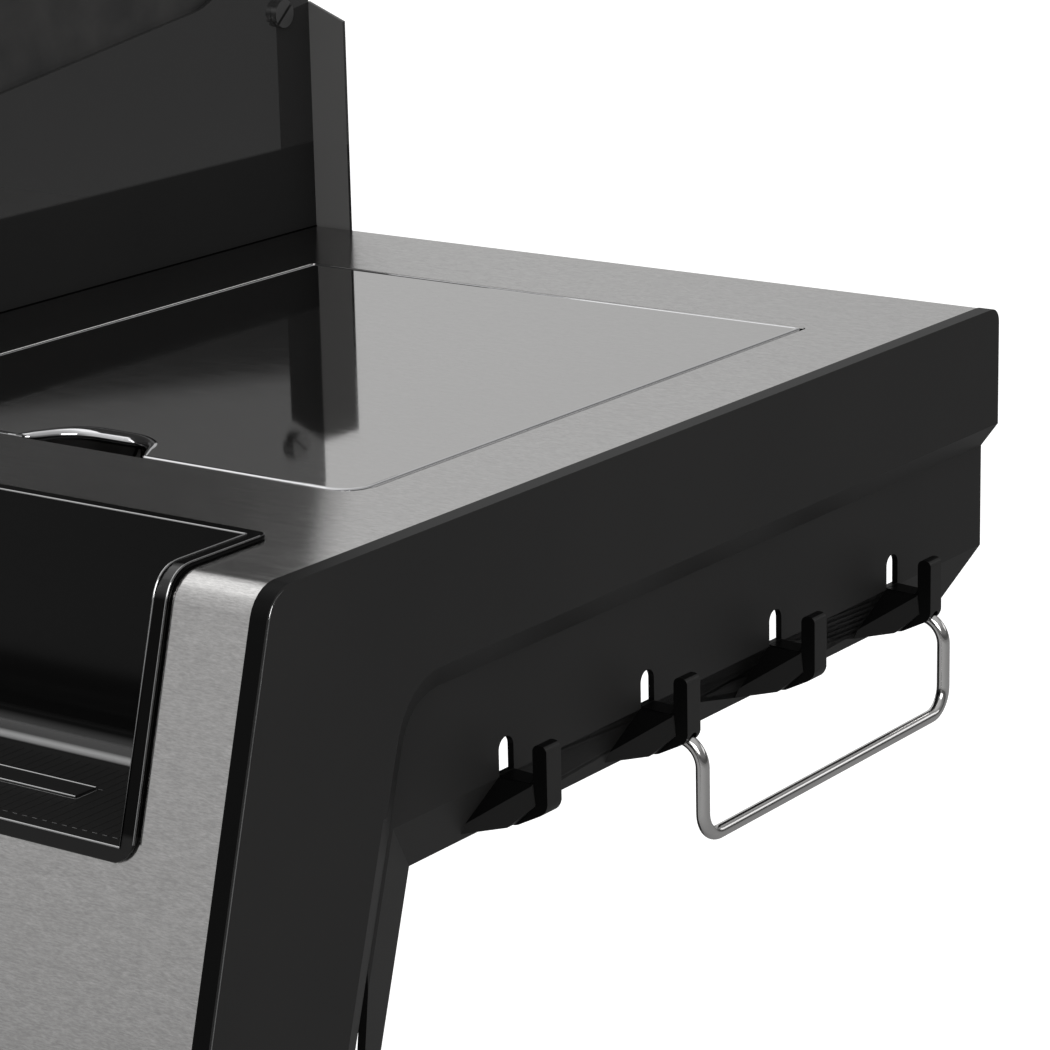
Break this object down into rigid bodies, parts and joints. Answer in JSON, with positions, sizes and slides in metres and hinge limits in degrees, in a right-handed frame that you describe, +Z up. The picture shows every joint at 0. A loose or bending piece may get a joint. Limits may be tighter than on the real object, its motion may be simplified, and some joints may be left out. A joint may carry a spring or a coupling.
{
  "type": "gas grill",
  "caption": "Cart gas grill with a hood, a flush side burner in the right shelf, and end caps with tool hooks and a towel bar.",
  "frame": {"origin": "on the ground, under the middle of the whole grill", "axes": "+X to the right seen from the front, +Y to the back, +Z up"},
  "size_m": [1.567, 0.6144, 1.2245],
  "materials": {
    "brushed_steel": "brushed stainless sheet",
    "satin_steel": "satin steel",
    "zinc_steel": "bright zinc-plated steel",
    "black_nylon": "fine-grained black moulding",
    "black_gloss": "glossy black moulding",
    "black_enamel": "satin black enamel",
    "black_paint": "black powder coat",
    "cast_aluminium": "black paint on cast aluminium",
    "cast_iron": "black enamelled cast iron",
    "brass": "plain brass",
    "galvanised": "galvanised steel",
    "wheel_rubber": "black rubber",
    "red_plastic": "red moulding",
    "chrome": "polished chrome"
  },
  "bodies": {
    "grill": {"shelf_right": "brushed_steel", "end_cap_right": "black_nylon", "towel_bar_right": "satin_steel", "bin_right": "black_gloss", "side_burner_bowl": "black_enamel", "side_burner": "cast_iron", "side_burner_grate": "cast_iron", "shelf_left": "brushed_steel", "end_cap_left": "black_nylon", "towel_bar_left": "satin_steel", "bin_left": "black_gloss", "firebox": "black_enamel", "firebox_panel_left": "black_enamel", "firebox_panel_right": "black_enamel", "burners": "satin_steel", "flame_tamers": "satin_steel", "cooking_grate_left": "cast_iron", "cooking_grate_right": "cast_iron", "warming_rack": "satin_steel", "control_panel": "brushed_steel", "knob_bezels": "chrome", "gas_manifold": "galvanised", "gas_valves": "brass", "hinge_screws": "chrome", "cart_base": "black_paint", "cart_side_left": "black_paint", "cart_side_right": "black_paint", "cart_back": "black_paint", "cart_front_rail": "black_paint", "caster_mounts": "zinc_steel"},
    "hood": {"hood_shell": "brushed_steel", "hood_end_left": "cast_aluminium", "hood_end_right": "cast_aluminium", "hood_handle": "satin_steel", "thermometer": "satin_steel"},
    "needle": {"thermometer_needle": "black_gloss"},
    "burner_lid": {"side_burner_lid": "brushed_steel"},
    "right_door": {"door_right": "brushed_steel", "door_handle_right": "satin_steel"},
    "left_door": {"door_left": "brushed_steel", "door_handle_left": "satin_steel"},
    "button": {"ignition_button": "black_gloss"},
    "tray": {"grease_tray": "galvanised"},
    "cup": {"grease_cup": "galvanised"},
    "stem_left_body": {"stem_left": "brass"},
    "knob_left_body": {"knob_left": "black_gloss"},
    "stem_middle_body": {"stem_middle": "brass"},
    "knob_middle_body": {"knob_middle": "black_gloss"},
    "stem_right_body": {"stem_right": "brass"},
    "knob_right_body": {"knob_right": "black_gloss"},
    "stem_side_burner_body": {"stem_side_burner": "brass"},
    "knob_side_burner_body": {"knob_side_burner": "black_gloss"},
    "fork_left": {"caster_fork_left": "zinc_steel"},
    "brake_left_body": {"brake_left": "red_plastic"},
    "front_wheel_left": {"wheel_front_left": "wheel_rubber"},
    "rear_wheel_left": {"wheel_rear_left": "wheel_rubber"},
    "fork_right": {"caster_fork_right": "zinc_steel"},
    "brake_right_body": {"brake_right": "red_plastic"},
    "front_wheel_right": {"wheel_front_right": "wheel_rubber"},
    "rear_wheel_right": {"wheel_rear_right": "wheel_rubber"}
  },
  "joints": [
    {"name": "hood_hinge", "type": "hinge", "parent": "grill", "child": "hood", "pos_m": [0, 0.28122, 1.021], "axis": [-1, 0, 0], "range_deg": [0, 85]},
    {"name": "needle_turn", "type": "hinge", "parent": "hood", "child": "needle", "pos_m": [0, -0.10728, 1.154], "axis": [0, -0.5979, 0.8016], "range_deg": [0, 260], "stiffness_Nm_per_rad": 0.002},
    {"name": "burner_lid_hinge", "type": "hinge", "parent": "grill", "child": "burner_lid", "pos_m": [0.55725, 0.21622, 0.897], "axis": [-1, 0, 0], "range_deg": [0, 100]},
    {"name": "right_door_hinge", "type": "hinge", "parent": "grill", "child": "right_door", "pos_m": [0.34, -0.22478, 0.3], "axis": [0, 0, 1], "range_deg": [0, 110]},
    {"name": "left_door_hinge", "type": "hinge", "parent": "grill", "child": "left_door", "pos_m": [-0.34, -0.22478, 0.3], "axis": [0, 0, -1], "range_deg": [0, 110]},
    {"name": "left_stem_push", "type": "slide", "parent": "grill", "child": "stem_left_body", "axis": [0, 0.9625, -0.2714], "range_m": [0, 0.003], "stiffness_N_per_m": 1500, "springref_m": -0.002},
    {"name": "left_knob_turn", "type": "hinge", "parent": "stem_left_body", "child": "knob_left_body", "pos_m": [-0.21, -0.26549, 0.805], "axis": [0, -0.9625, 0.2714], "range_deg": [0, 150]},
    {"name": "middle_stem_push", "type": "slide", "parent": "grill", "child": "stem_middle_body", "axis": [0, 0.9625, -0.2714], "range_m": [0, 0.003], "stiffness_N_per_m": 1500, "springref_m": -0.002},
    {"name": "middle_knob_turn", "type": "hinge", "parent": "stem_middle_body", "child": "knob_middle_body", "pos_m": [0, -0.26549, 0.805], "axis": [0, -0.9625, 0.2714], "range_deg": [0, 150]},
    {"name": "right_stem_push", "type": "slide", "parent": "grill", "child": "stem_right_body", "axis": [0, 0.9625, -0.2714], "range_m": [0, 0.003], "stiffness_N_per_m": 1500, "springref_m": -0.002},
    {"name": "right_knob_turn", "type": "hinge", "parent": "stem_right_body", "child": "knob_right_body", "pos_m": [0.21, -0.26549, 0.805], "axis": [0, -0.9625, 0.2714], "range_deg": [0, 150]},
    {"name": "side_burner_stem_push", "type": "slide", "parent": "grill", "child": "stem_side_burner_body", "axis": [0, 0.9625, -0.2714], "range_m": [0, 0.003], "stiffness_N_per_m": 1500, "springref_m": -0.002},
    {"name": "side_burner_knob_turn", "type": "hinge", "parent": "stem_side_burner_body", "child": "knob_side_burner_body", "pos_m": [0.3, -0.26549, 0.805], "axis": [0, -0.9625, 0.2714], "range_deg": [0, 150]},
    {"name": "ignition_push", "type": "slide", "parent": "grill", "child": "button", "axis": [0, 0.9625, -0.2714], "range_m": [0, 0.004], "stiffness_N_per_m": 800, "springref_m": -0.002},
    {"name": "tray_slide", "type": "slide", "parent": "grill", "child": "tray", "axis": [0, 1, 0], "range_m": [0, 0.4]},
    {"name": "cup_slide", "type": "slide", "parent": "tray", "child": "cup", "axis": [0, 1, 0], "range_m": [0, 0.12]},
    {"name": "left_caster_swivel", "type": "hinge", "parent": "grill", "child": "fork_left", "pos_m": [-0.299, -0.14678, 0.08], "axis": [0, 0, 1], "continuous": true},
    {"name": "left_front_wheel_spin", "type": "hinge", "parent": "fork_left", "child": "front_wheel_left", "pos_m": [-0.299, -0.12078, 0.0375], "axis": [1, 0, 0], "continuous": true},
    {"name": "left_rear_wheel_spin", "type": "hinge", "parent": "grill", "child": "rear_wheel_left", "pos_m": [-0.299, 0.23922, 0.0375], "axis": [1, 0, 0], "continuous": true},
    {"name": "left_brake_tip", "type": "hinge", "parent": "fork_left", "child": "brake_left_body", "pos_m": [-0.299, -0.09278, 0.072], "axis": [-1, 0, 0], "range_deg": [0, 18]},
    {"name": "right_caster_swivel", "type": "hinge", "parent": "grill", "child": "fork_right", "pos_m": [0.299, -0.14678, 0.08], "axis": [0, 0, 1], "continuous": true},
    {"name": "right_front_wheel_spin", "type": "hinge", "parent": "fork_right", "child": "front_wheel_right", "pos_m": [0.299, -0.12078, 0.0375], "axis": [1, 0, 0], "continuous": true},
    {"name": "right_rear_wheel_spin", "type": "hinge", "parent": "grill", "child": "rear_wheel_right", "pos_m": [0.299, 0.23922, 0.0375], "axis": [1, 0, 0], "continuous": true},
    {"name": "right_brake_tip", "type": "hinge", "parent": "fork_right", "child": "brake_right_body", "pos_m": [0.299, -0.09278, 0.072], "axis": [-1, 0, 0], "range_deg": [0, 18]}
  ]
}
